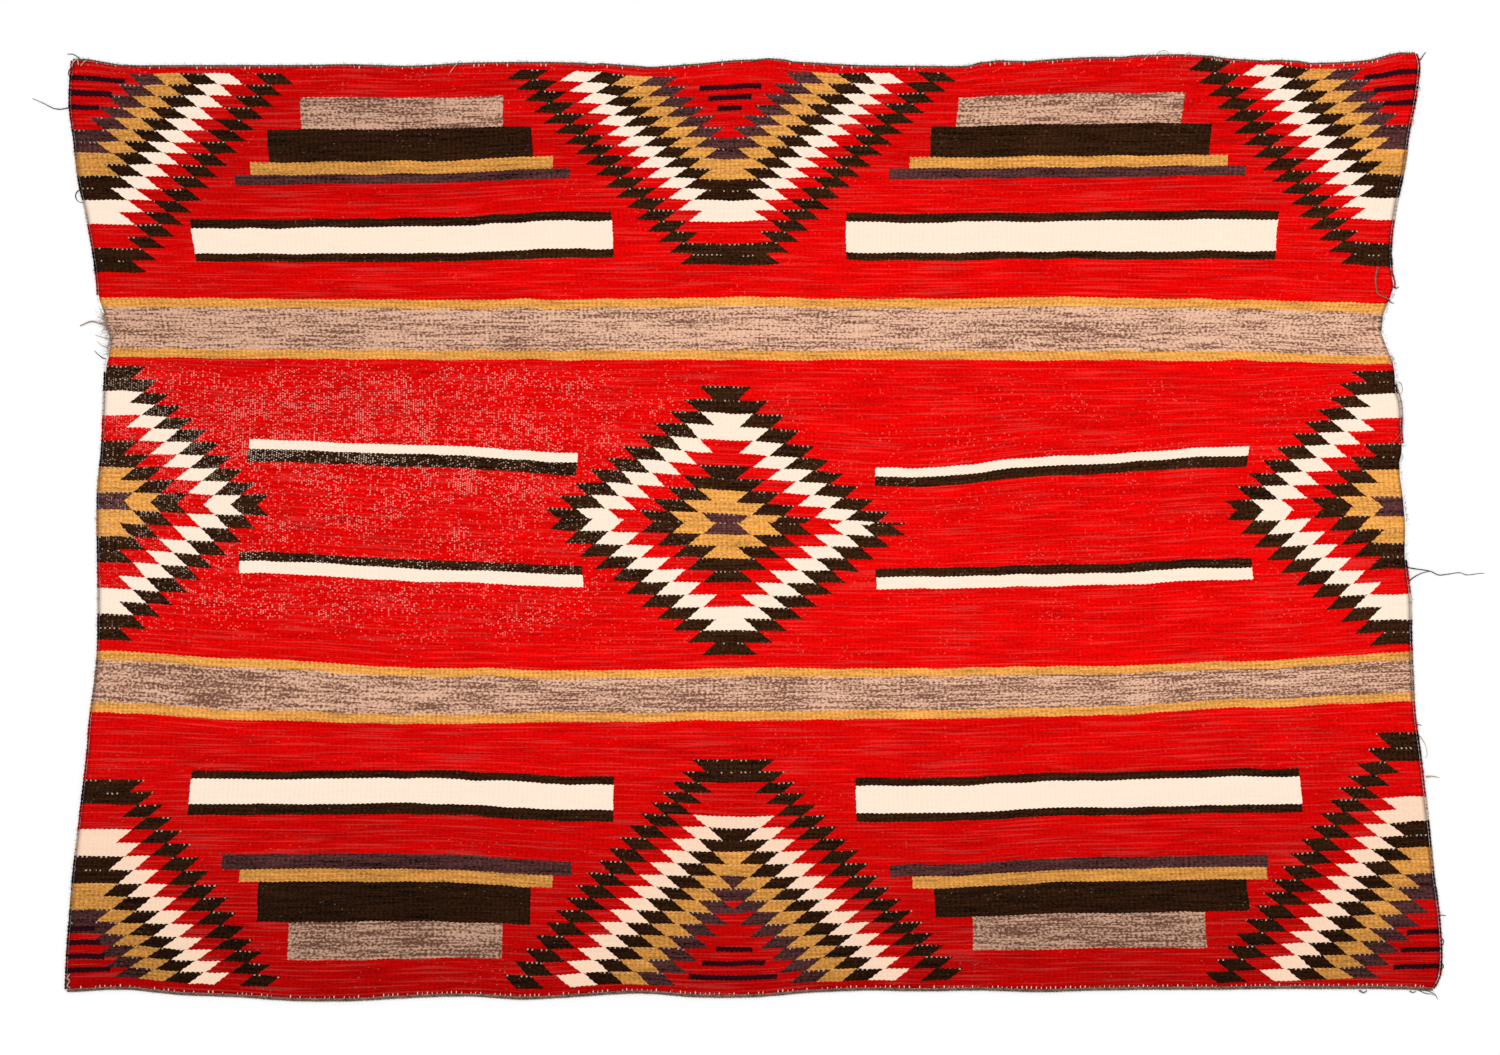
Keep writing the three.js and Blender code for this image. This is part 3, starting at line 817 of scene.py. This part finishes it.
def worn_warps(tree, u, v):
    """How strongly bare warps show through worn weft: small spots, at most one for each warp and
    pick. A spot shows by as much as the wear of its place is above the spot's own random value. The
    wear is patchy, and worst in the left of the middle band."""
    warp = add(tree, MATH, [u, WARP_PITCH], "DIVIDE")
    warp_number = add(tree, MATH, [warp], "FLOOR")
    offset = add(tree, MATH, [warp_number, 0.5], "MULTIPLY")
    pick = add(tree, MATH, [add(tree, MATH, [v, PICK_PITCH], "DIVIDE"), offset], "ADD")
    pick_number = add(tree, MATH, [pick], "FLOOR")
    chance = add(tree, "ShaderNodeTexWhiteNoise",
                 {"Vector": add(tree, "ShaderNodeCombineXYZ", [warp_number, pick_number])},
                 noise_dimensions="2D")
    patches = stretched_noise(tree, u, v, 75, 40, 3.0)
    patches = add(tree, RANGE, [patches, 0.40, 0.70, 0.0, 1.0], **SMOOTH)
    ranges = ((v, 430, 520, 0, 0.6), (v, 600, 720, 1, 1.7), (v, 780, 860, 1, 0), (u, 480, 900, 1, 0.12))
    band = both(tree, *(add(tree, RANGE, marks, **SMOOTH) for marks in ranges))
    ends = add(tree, RANGE, [v, LOOM_LENGTH - 35.0, LOOM_LENGTH - 5.0, 0.0, 0.05], **SMOOTH)
    wear = add(tree, MATH, [patches, 0.06, 0.01], "MULTIPLY_ADD")
    wear = add(tree, MATH, [wear, ends], "ADD")
    worst = add(tree, MATH, [patches, 0.38, 0.32], "MULTIPLY_ADD")
    wear = add(tree, MATH, [band, worst, wear], "MULTIPLY_ADD")
    spot = add(tree, MATH, [wear, chance], "SUBTRACT")
    spot = add(tree, MATH, [spot, 3.5], "MULTIPLY", use_clamp=True)
    for value in (warp, pick):
        part = add(tree, MATH, [value], "FRACT")
        middle = add(tree, MATH, [part, 0.5, 0.27], "COMPARE")
        spot = add(tree, MATH, [spot, middle], "MULTIPLY")
    return spot


def weave_colour(tree):
    """The colour of the woven face and its small relief, from the UV map. The eye sees the figures,
    streaks where the spun wool changes tone, and bare warps at worn spots."""
    colours = bpy.context.scene.rug_colours
    u, v, stepped_u, stepped_v = loom_measures(tree)
    wool, inside, dash, dots = figure_wool(tree, stepped_u, stepped_v)
    wool = add(tree, MIX, {0: inside, 2: bar_wool(tree, stepped_u, stepped_v), 3: wool})
    wool = add(tree, MIX, {0: dash, 2: wool, 3: float(PLUM)})
    palette = (colours.red, colours.black, colours.cream, colours.gold, colours.grey, colours.purple,
               colours.plum, colours.tan)
    channels = read_table(tree, wool, len(palette), list(zip(*palette)))
    colour = add(tree, "ShaderNodeCombineColor", channels)
    mottle_share, bare_share, shade_share, rib_shade_share = read_table(tree, wool, len(palette), WOOL_LOOKS)

    # Mottling: long streaks one pick high, and grains of a few millimetres
    streak = add(tree, MATH, [stretched_noise(tree, u, v, 60, 2.8, 1.0), 0.5], "SUBTRACT")
    grain = add(tree, MATH, [stretched_noise(tree, u, v, 4.0, 2.6, 1.0), 0.5], "SUBTRACT")
    slow = add(tree, MATH, [stretched_noise(tree, u, v, 240, 24), 0.5], "SUBTRACT")
    mottle = add(tree, MATH, [streak, 1.5], "MULTIPLY")
    mottle = add(tree, MATH, [grain, 1.9, mottle], "MULTIPLY_ADD")
    mottle = add(tree, MATH, [slow, 0.7, mottle], "MULTIPLY_ADD")
    light = add(tree, MATH, [mottle, mottle_share, 1.0], "MULTIPLY_ADD")

    # Carded brown and white wool: the mottling mixes the two tones, lighter in the upper band
    lighter = both(
        tree,
        add(tree, RANGE, [v, 760.0, 840.0, 0.0, 0.20], **SMOOTH),
        add(tree, RANGE, [v, 930.0, 1080.0, 1.0, 0.3], **SMOOTH),
    )
    carded = add(tree, MATH, [mottle, 1.5, 0.44], "MULTIPLY_ADD")
    carded = add(tree, MATH, [carded, lighter], "ADD", use_clamp=True)
    is_grey = add(tree, MATH, [wool, float(GREY), 0.5], "COMPARE")
    carded = add(tree, MATH, [carded, is_grey], "MULTIPLY")
    pale = (*colours.pale_grey, 1.0)
    colour = add(tree, MIX, {0: carded, 6: colour, 7: pale}, **IN_COLOUR)

    # Darker towards both ends, the bottom one most, and on the left a little
    shade = add(tree, RANGE, [v, 0.0, 430.0, 0.47, 0.0])
    top_shade = add(tree, RANGE, [v, 970.0, 1120.0, 0.0, 0.14], **SMOOTH)
    left_shade = both(
        tree,
        add(tree, RANGE, [u, 100.0, 1000.0, 0.15, 0.0], **SMOOTH),
        add(tree, RANGE, [v, 300.0, 900.0, 0.5, 1.3]),
    )
    shade = add(tree, MATH, [shade, top_shade], "ADD")
    shade = add(tree, MATH, [shade, left_shade], "ADD")
    shade = add(tree, MATH, [shade, shade_share], "MULTIPLY")
    end_and_left_dimming = add(tree, MATH, [1.0, shade], "SUBTRACT")
    # Painted shade: the last few mm beside each side edge are darker, where the cloth rounds down
    from_right = add(tree, MATH, [LOOM_WIDTH, u], "SUBTRACT")
    to_side = add(tree, MATH, [u, from_right], "MINIMUM")
    edge_light = add(tree, RANGE, [to_side, 0.0, 6.0, 0.62, 1.0], **SMOOTH)
    # Painted shade of the ribs: lighter on each ridge and darker in the groove between ridges
    ridge_shade = add(tree, MATH, [u, 2 * math.pi / RIDGE_PITCH], "MULTIPLY")
    ridge_shade = add(tree, MATH, [ridge_shade], "COSINE")
    ridge_shade = add(tree, MATH, [ridge_shade, rib_shade_share, 1.0], "MULTIPLY_ADD")
    light = both(tree, light, end_and_left_dimming, edge_light, ridge_shade)
    light = add(tree, MATH, [light, 0.05], "MAXIMUM")
    colour = add(tree, "ShaderNodeVectorMath", {0: colour, "Scale": light}, "SCALE")

    # The figures are woven tighter than the ground, so they are less worn
    tighter = add(tree, RANGE, [inside, 0.0, 1.0, 1.0, 0.6])
    worn = add(tree, MATH, [worn_warps(tree, u, v), tighter], "MULTIPLY")
    dots = add(tree, MATH, [dots, 0.8], "MULTIPLY")
    bare = add(tree, MATH, [worn, dots], "MAXIMUM")
    # Long threads of the red ground took less dye
    threads = both(
        tree,
        add(tree, RANGE, [stretched_noise(tree, u, v, 110, 2.6, 1.0), 0.55, 0.70, 0.0, 0.055],
            **SMOOTH),
        add(tree, MATH, [wool, 0.5], "LESS_THAN"),
    )
    bare = add(tree, MATH, [bare, threads], "MAXIMUM")
    bare = add(tree, MATH, [bare, bare_share], "MULTIPLY")
    warp = (*colours.warp, 1.0)
    colour = add(tree, MIX, {0: bare, 6: colour, 7: warp}, **IN_COLOUR)

    picks = add(tree, MATH, [u, WARP_PITCH], "DIVIDE")
    picks = add(tree, MATH, [picks], "FLOOR")
    picks = add(tree, MATH, [picks, PICK_PITCH / 2, v], "MULTIPLY_ADD")
    height = add(tree, MATH, [wave(tree, picks, PICK_PITCH), 0.25], "MULTIPLY")
    height = add(tree, MATH, [grain, 1.2, height], "MULTIPLY_ADD")
    return colour, height, v


def tapestry_wool():
    """Handspun wool, woven weft-faced: the weft hides the warps, whose ribs and picks stay visible as
    relief. It looks dry and matt, with the woven figures in it."""
    material, tree, surface = new_finish("tapestry_wool", 0.95)
    colour, height, _ = weave_colour(tree)
    dress(tree, surface, colour, height, 0.35, 0.4)
    return material


def selvage_wool():
    """The side cord with the weft turned round it. It has the colours of the weft beside it, made
    darker by the painted shade of the side edges, and dark cord shows between the turns as dots."""
    material, tree, surface = new_finish("selvage_wool", 0.95)
    colour, height, v = weave_colour(tree)
    turns = add(tree, MATH, [wave(tree, v, 5.2), 0.1], "GREATER_THAN")
    worn = add(tree, MATH, [stretched_noise(tree, v, v, 16, 16), 0.5], "GREATER_THAN")
    lower = add(tree, RANGE, [v, 150.0, 330.0, 0.9, 0.45], **SMOOTH)
    gap = both(tree, turns, worn, lower)
    side = (*bpy.context.scene.rug_colours.side, 1.0)
    colour = add(tree, MIX, {0: gap, 6: colour, 7: side}, **IN_COLOUR)
    dress(tree, surface, colour, height, 0.4, 0.4)
    return material


def spun_wool(name, light_colour, dark_share, patch):
    """Hand-spun yarn: its tone changes along it as the fleece did, down to a share of its light
    colour, and fine hairs roughen it."""
    material, tree, surface = new_finish(name, 0.92)
    uv = add(tree, "ShaderNodeUVMap", uv_map="weave")
    split = tree.nodes.new("ShaderNodeSeparateXYZ")
    tree.links.new(uv, split.inputs[0])
    run = add(tree, MATH, [split.outputs[0], 1 / MM], "MULTIPLY")
    tone = stretched_noise(tree, run, split.outputs[1], patch, 0.35, 3.0)
    tone = add(tree, RANGE, [tone, 0.35, 0.65, 0.0, 1.0])
    dark, light = (*(dark_share * c for c in light_colour), 1.0), (*light_colour, 1.0)
    colour = add(tree, MIX, {0: tone, 6: dark, 7: light}, **IN_COLOUR)
    hairs = stretched_noise(tree, run, split.outputs[1], 1.2, 0.12, 1.0)
    dress(tree, surface, colour, hairs, 0.5, 0.3)
    return material


def plain_floor():
    """Matt white studio floor with the faintest mottling."""
    material, tree, surface = new_finish("studio_floor", 0.9)
    place = add(tree, "ShaderNodeTexCoord", out=3)
    mottle = add(tree, "ShaderNodeTexNoise", {"Vector": place, "Scale": 1.5, "Detail": 2.0})
    light = add(tree, RANGE, [mottle, 0.3, 0.7, 0.965, 0.985])
    colour = add(tree, "ShaderNodeCombineColor", [light, light, light])
    tree.links.new(colour, surface.inputs["Base Color"])
    return material


def size_property(label, text, size, least, most):
    """A size in mm that a user can change."""
    return bpy.props.FloatProperty(
        name=label, description=text, default=size * MM, min=least * MM, max=most * MM, precision=4,
        unit="LENGTH")


class RugSizes(bpy.types.PropertyGroup):
    """Sizes of the rug's cloth, cords and yarn."""

    cloth_thickness: size_property("Cloth thickness", "Height of the upper face less its waves", 3, 1.5, 6)
    end_cord: size_property("End cord", "Thickness of the twisted cord along each woven end", 4, 1, 8)
    side_cord: size_property("Side cord", "Thickness of the twined cord along each side", 3.4, 1, 8)
    loose_yarn: size_property("Loose yarn", "Thickness of the yarn ends that have come loose", 1.8, 0.5, 4)


def colour_property(label, text, code):
    """A colour that a user can change, with an sRGB hex code as its default."""
    return bpy.props.FloatVectorProperty(
        name=label, description=text, default=srgb(code), min=0.0, max=1.0, size=3, subtype="COLOR")


class RugColours(bpy.types.PropertyGroup):
    """Colours of the rug's wools."""

    red: colour_property("Red ground", "Dyed weft of the ground", "#E40302")
    black: colour_property("Black-brown", "Dark weft of bars and outer stripes", "#341C0C")
    cream: colour_property("Cream", "Undyed light weft", "#FFE9D4")
    gold: colour_property("Gold", "Dyed gold weft", "#E8A04C")
    grey: colour_property("Dark grey", "Darker tone of the carded weft of the bands", "#7E5443")
    pale_grey: colour_property("Pale grey", "Lighter tone of the carded weft of the bands", "#EEBD9F")
    purple: colour_property("Purple", "Faded purple weft", "#55312F")
    plum: colour_property("Plum", "Dark weft of the thin lines at the figures' bases", "#340A14")
    tan: colour_property("Tan", "Darker cream of the figures at the bottom end", "#FBD8BC")
    warp: colour_property("Warp", "Bare warp at worn spots and at the ends", "#FFE4D0")
    cord: colour_property("End cord", "Grey-brown twisted cord", "#8A6E5C")
    side: colour_property("Side cord", "Dark twined cord", "#38241E")
    loose: colour_property("Loose wool", "Unravelled pale brown wool", "#C9A595")


class RUG_OT_stage(bpy.types.Operator):
    """Make the camera straight above the rug, a pale floor and soft light from the upper left"""

    bl_idname = "rug.stage"
    bl_label = "Stage"

    def execute(self, context):
        scene = context.scene
        data = bpy.data.cameras.new("photo_camera")
        data.sensor_width = SENSOR
        data.lens = SENSOR * CAMERA_HEIGHT / (PHOTO_WIDTH * PIXEL * MM)
        camera = bpy.data.objects.new("photo_camera", data)
        camera.location = (CENTRE_X * MM, 0.0, CAMERA_HEIGHT)
        scene.collection.objects.link(camera)
        scene.camera = camera
        half = FLOOR_SIZE / 2
        mesh = bpy.data.meshes.new("floor")
        corners = [(-half, -half, 0), (half, -half, 0), (half, half, 0), (-half, half, 0)]
        mesh.from_pydata(corners, [], [(0, 1, 2, 3)])
        mesh.materials.append(plain_floor())
        floor = bpy.data.objects.new("floor", mesh)
        scene.collection.objects.link(floor)
        sun = bpy.data.lights.new("window_light", "SUN")
        sun.energy = SUN_ENERGY
        sun.angle = math.radians(SUN_ANGLE)
        lamp = bpy.data.objects.new("window_light", sun)
        lamp.rotation_euler = (math.radians(SUN_TILT[0]), math.radians(SUN_TILT[1]), 0.0)
        scene.collection.objects.link(lamp)
        world = bpy.data.worlds.new("soft_room")
        world.use_nodes = True
        sky = world.node_tree.nodes["Background"]
        sky.inputs["Color"].default_value = (1.0, 1.0, 1.0, 1.0)
        sky.inputs["Strength"].default_value = ROOM_LIGHT
        scene.world = world
        scene.view_settings.view_transform = "Standard"
        return {"FINISHED"}


class RUG_OT_cloth(bpy.types.Operator):
    """Weave the cloth: one closed ribbed sheet with its figures"""

    bl_idname = "rug.cloth"
    bl_label = "Cloth"

    def execute(self, context):
        points, faces, uv = cloth_shell()
        cloth = make_piece("woven_cloth", points, faces, uv, tapestry_wool(), "tapestry_wool", "rug_cloth")
        return {"FINISHED"}


class RUG_OT_end_cords(bpy.types.Operator):
    """Lay the twisted cords along the two woven ends"""

    bl_idname = "rug.end_cords"
    bl_label = "End cords"

    def execute(self, context):
        sizes, colours = context.scene.rug_sizes, context.scene.rug_colours
        finish = spun_wool("end_cord_wool", colours.cord, 0.30, 9.0)
        size = sizes.end_cord / MM
        for name, side, plies, left_of_it, seed in (
                ("bottom_end_cord", "bottom", 3, 1.0, 11), ("top_end_cord", "top", 2, 0.65, 12)):
            rng = np.random.default_rng(seed)
            path = edge_path(side, 0.0, 1.0, size * left_of_it, 1.5)
            radii = size / 2 * left_of_it * (0.97 + uneven(len(path), rng, 9, 0.08))
            path[:, 2] = radii
            parts = [plied_cord(path, radii, plies, END_TWIST * left_of_it)]
            parts += [end_yarn(points, sizes.loose_yarn / MM, rng) for points in STRANDS.get(name, ())]
            make_piece(f"twisted_{name}", *join(parts), finish, "end_cord_wool", name)
        return {"FINISHED"}


class RUG_OT_side_cords(bpy.types.Operator):
    """Lay the worn lengths of twined cord along the two sides, with their loose ends"""

    bl_idname = "rug.side_cords"
    bl_label = "Side cords"

    def execute(self, context):
        sizes, colours = context.scene.rug_sizes, context.scene.rug_colours
        finish = selvage_wool()
        size = sizes.side_cord / MM
        levels = np.linspace(0, LOOM_LENGTH, 900)
        for number, (name, (side, start, stop)) in enumerate(CORD_RUNS.items()):
            rng = np.random.default_rng(21 + number)
            path = edge_path(side, start, stop, size, 1.4)
            radii = size / 2 * (0.90 + uneven(len(path), rng, 4, 0.16))
            path[:, 2] = radii
            points, faces, _ = plied_cord(path, radii, 2, SIDE_TWIST)
            edge = np.full_like(levels, 0.0 if side == "left" else LOOM_WIDTH)
            level = np.interp(points[:, 1], weave_place(edge, levels)[1], levels)
            uv = np.stack((np.full_like(level, edge[0]), level), -1) * MM
            make_piece(f"twined_{name}", points, faces, uv, finish, "side_cord_wool", name)
        finish = spun_wool("side_cord_wool", colours.side, 0.35, 12.0)
        rng = np.random.default_rng(29)
        ends = [points for name in CORD_RUNS for points in STRANDS.get(name, ())]
        parts = [end_yarn(points, sizes.loose_yarn / MM, rng) for points in ends]
        make_piece("loose_cord_ends", *join(parts), finish, "side_cord_wool")
        return {"FINISHED"}


class RUG_OT_fray(bpy.types.Operator):
    """Fray the left side where its cord has worn away: yarn ends and a tuft of soft wool"""

    bl_idname = "rug.fray"
    bl_label = "Left fray"

    def execute(self, context):
        sizes, colours = context.scene.rug_sizes, context.scene.rug_colours
        finish = spun_wool("loose_wool", colours.loose, 0.5, 6.0)
        rng = np.random.default_rng(31)
        strip = edge_path(*FRAY_RUN, 1.4, 1.2)
        radii = 0.6 * (1 + uneven(len(strip), rng, 3, 0.3))
        parts = [plied_cord(strip, radii, 2, 7.0, 5)]
        thick, *thin = STRANDS["left_fray"]
        parts.append(end_yarn(thick, sizes.loose_yarn / MM * 1.7, rng))
        parts += [end_yarn(points, sizes.loose_yarn / MM * 0.8, rng) for points in thin]
        many = 150
        starts = strip[rng.integers(0, len(strip), many)] + rng.normal(0, 0.6, (many, 3)) * (1, 1, 0.4)
        starts[:, 2] = np.abs(starts[:, 2]) + 0.3
        headings = math.pi + rng.normal(0, 0.75, many)
        parts.append(fibres(starts, headings, rng.uniform(4, 16, many), rng))
        make_piece("left_fray_tuft", *join(parts), finish, "loose_wool", "left_fray")
        return {"FINISHED"}


class RUG_OT_warp_loops(bpy.types.Operator):
    """Turn the warp ends over at both woven ends, as small light loops beside the end cords"""

    bl_idname = "rug.warp_loops"
    bl_label = "Warp loops"

    def execute(self, context):
        finish = spun_wool("warp_wool", context.scene.rug_colours.warp, 0.55, 3.0)
        for name, level, inward, seed, kept in (
                ("bottom_warp_loops", 0.0, 1, 41, 0.75), ("top_warp_loops", LOOM_LENGTH, -1, 42, 0.25)):
            rng = np.random.default_rng(seed)
            u = np.arange(RIDGE_PITCH, LOOM_WIDTH - RIDGE_PITCH, RIDGE_PITCH)
            u = u[rng.random(len(u)) < kept]
            u = (u + rng.normal(0, 0.5, len(u)))[:, None]
            inset = np.array([3.4, 2.7, 1.7, 0.6, -0.5])
            height = np.array([-1.0, 0.15, 0.35, 0.0, -1.3])
            spread = rng.uniform(0.5, 1.2, len(u))[:, None]
            x, y = weave_place(u + 0 * inset, level + inward * np.maximum(inset * spread, 0.0))
            y = y - inward * np.maximum(-inset, 0)
            z = cloth_height(x, y) + height
            radii = 0.66 * spread * np.array([0.6, 1.0, 1.1, 1.0, 0.6])
            make_piece(name, *tubes(np.stack((x, y, z), -1), radii, 5), finish, "end_cord_wool")
        return {"FINISHED"}


class RUG_OT_loose_yarns(bpy.types.Operator):
    """Lay the yarn that has come out of the weave on the cloth or beside it, and hairs along the edges"""

    bl_idname = "rug.loose_yarns"
    bl_label = "Loose yarns"

    def execute(self, context):
        sizes, colours = context.scene.rug_sizes, context.scene.rug_colours
        tones = {"brown": (0.5, colours.loose), "pale": (0.9, colours.warp)}
        for tone, (shade, light) in tones.items():
            finish = spun_wool(f"loose_{tone}_yarn", [shade * c for c in light], 0.3 / shade, 8.0)
            rng = np.random.default_rng(51)
            parts = []
            for kind, rest, thickness, points in FREE_YARNS:
                if kind == tone:
                    yarn_points, faces, uv = end_yarn(points, sizes.loose_yarn / MM * thickness, rng)
                    if rest == "face":
                        yarn_points[:, 2] += cloth_height(yarn_points[:, 0], yarn_points[:, 1])
                    parts.append((yarn_points, faces, uv))
            make_piece(f"loose_{tone}_yarns", *join(parts), finish, "loose_wool")
        rng = np.random.default_rng(52)
        starts, headings = [], []
        for side, heading, many in (("left", math.pi, 700), ("right", 0.0, 700),
                                    ("bottom", -math.pi / 2, 500), ("top", math.pi / 2, 700)):
            line = edge_path(side, 0.0, 1.0, 3.0, 1.0)
            starts.append(line[rng.integers(0, len(line), many)])
            headings.append(heading + rng.normal(0, 0.8, many))
        starts, headings = np.concatenate(starts), np.concatenate(headings)
        hairs = fibres(starts, headings, rng.uniform(1.5, 5.0, len(starts)), rng)
        finish = spun_wool("edge_hairs_wool", colours.side, 0.5, 3.0)
        make_piece("edge_hairs", *hairs, finish, "side_cord_wool")
        return {"FINISHED"}


OPERATORS = (RUG_OT_stage, RUG_OT_cloth, RUG_OT_end_cords, RUG_OT_side_cords, RUG_OT_fray,
             RUG_OT_warp_loops, RUG_OT_loose_yarns)


class RUG_PT_panel(bpy.types.Panel):
    """The rug's sizes, colours and making steps"""

    bl_label = "Handwoven rug"
    bl_idname = "RUG_PT_panel"
    bl_space_type = "VIEW_3D"
    bl_region_type = "UI"
    bl_category = "Rug"

    def draw(self, context):
        for group in (context.scene.rug_sizes, context.scene.rug_colours):
            for name in group.__annotations__:
                self.layout.prop(group, name)
        for operator in OPERATORS:
            self.layout.operator(operator.bl_idname)


CLASSES = (RugSizes, RugColours, *OPERATORS, RUG_PT_panel)


def register():
    for item in CLASSES:
        bpy.utils.register_class(item)
    bpy.types.Scene.rug_sizes = bpy.props.PointerProperty(type=RugSizes)
    bpy.types.Scene.rug_colours = bpy.props.PointerProperty(type=RugColours)


def unregister():
    del bpy.types.Scene.rug_colours
    del bpy.types.Scene.rug_sizes
    for item in reversed(CLASSES):
        bpy.utils.unregister_class(item)


def main():
    register()
    bpy.ops.rug.stage()
    bpy.ops.rug.cloth()
    bpy.ops.rug.end_cords()
    bpy.ops.rug.side_cords()
    bpy.ops.rug.fray()
    bpy.ops.rug.warp_loops()
    bpy.ops.rug.loose_yarns()


if __name__ == "__main__":
    main()
